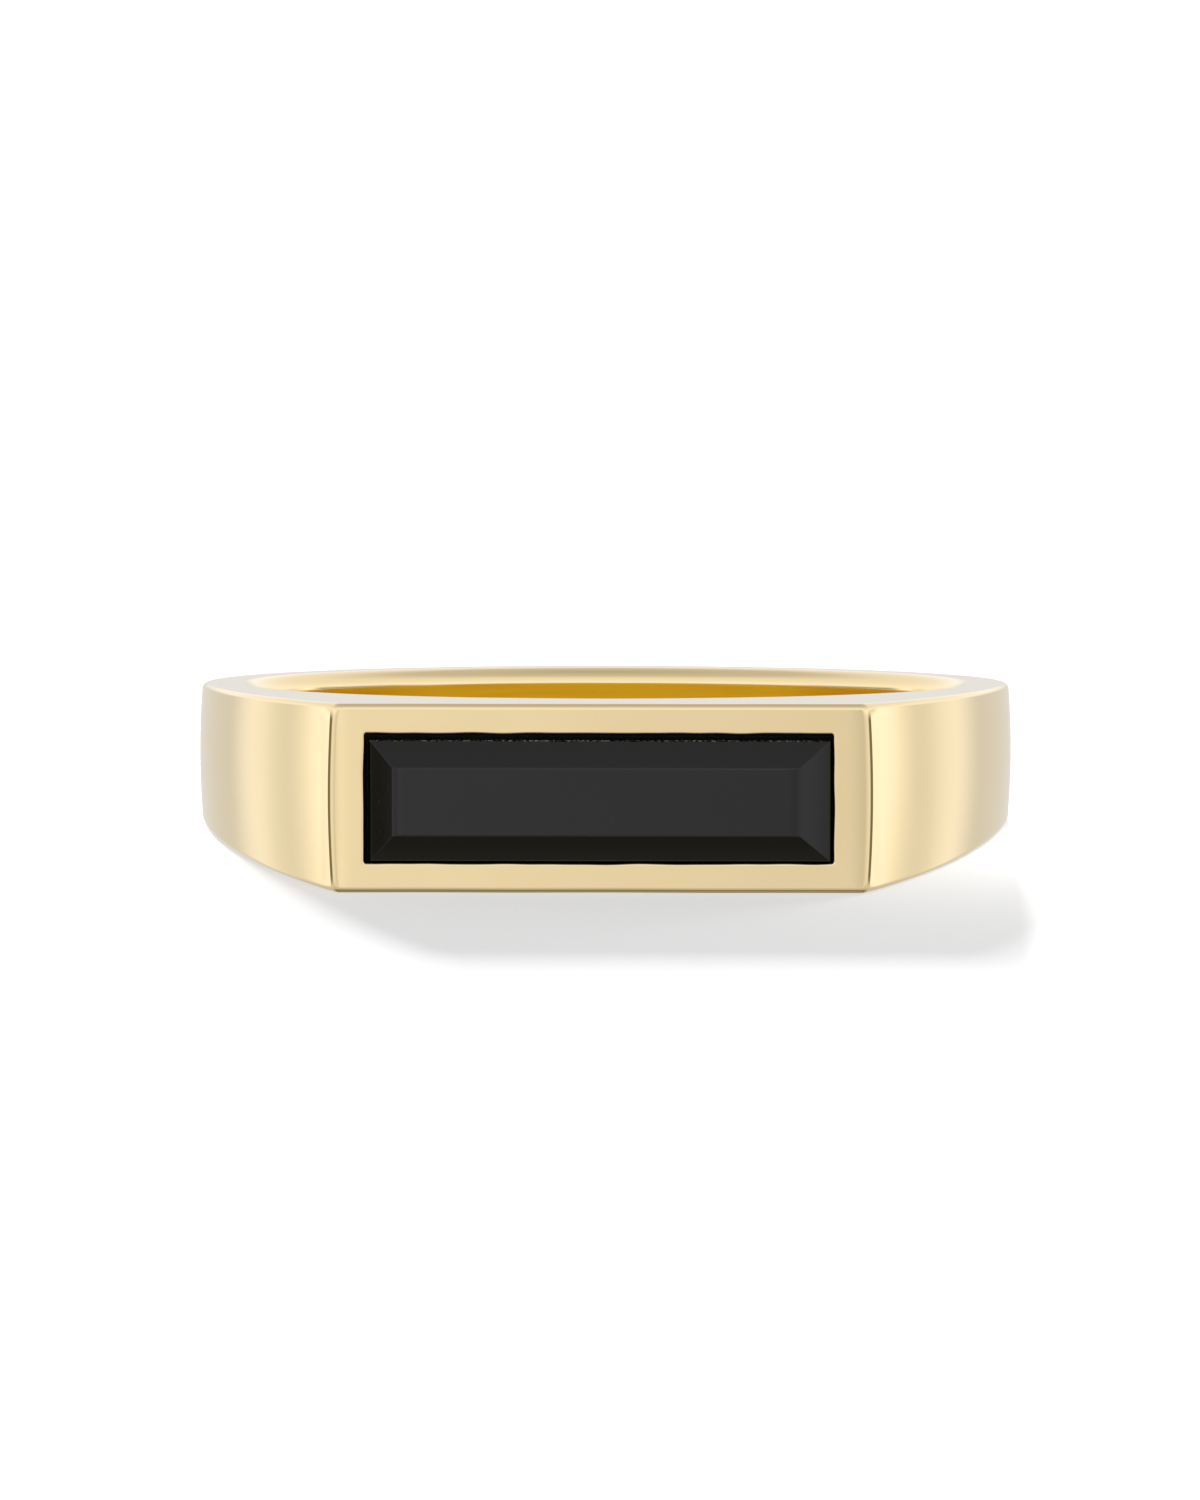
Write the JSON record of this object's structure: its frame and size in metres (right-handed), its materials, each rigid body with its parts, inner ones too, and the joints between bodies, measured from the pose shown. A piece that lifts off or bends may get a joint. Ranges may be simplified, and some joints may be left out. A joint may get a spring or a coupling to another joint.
{
  "type": "signet ring",
  "caption": "Low rectangular gold signet ring with a flat head, tapering polished shoulders and a bevelled black onyx tablet let into the face.",
  "frame": {"origin": "centre of the finger hole, halfway along its length", "axes": "+Z along the finger, -Y out of the flat head, +Y towards the back of the band, +X along the head's long side"},
  "size_m": [0.02, 0.0221, 0.0044],
  "materials": {
    "polished_gold": "polished",
    "black_onyx": "gloss",
    "black_cement": "matte"
  },
  "bodies": {
    "root": {"ring_body": "polished_gold", "onyx_stone": "black_onyx", "stone_cement": "black_cement"}
  },
  "joints": []
}
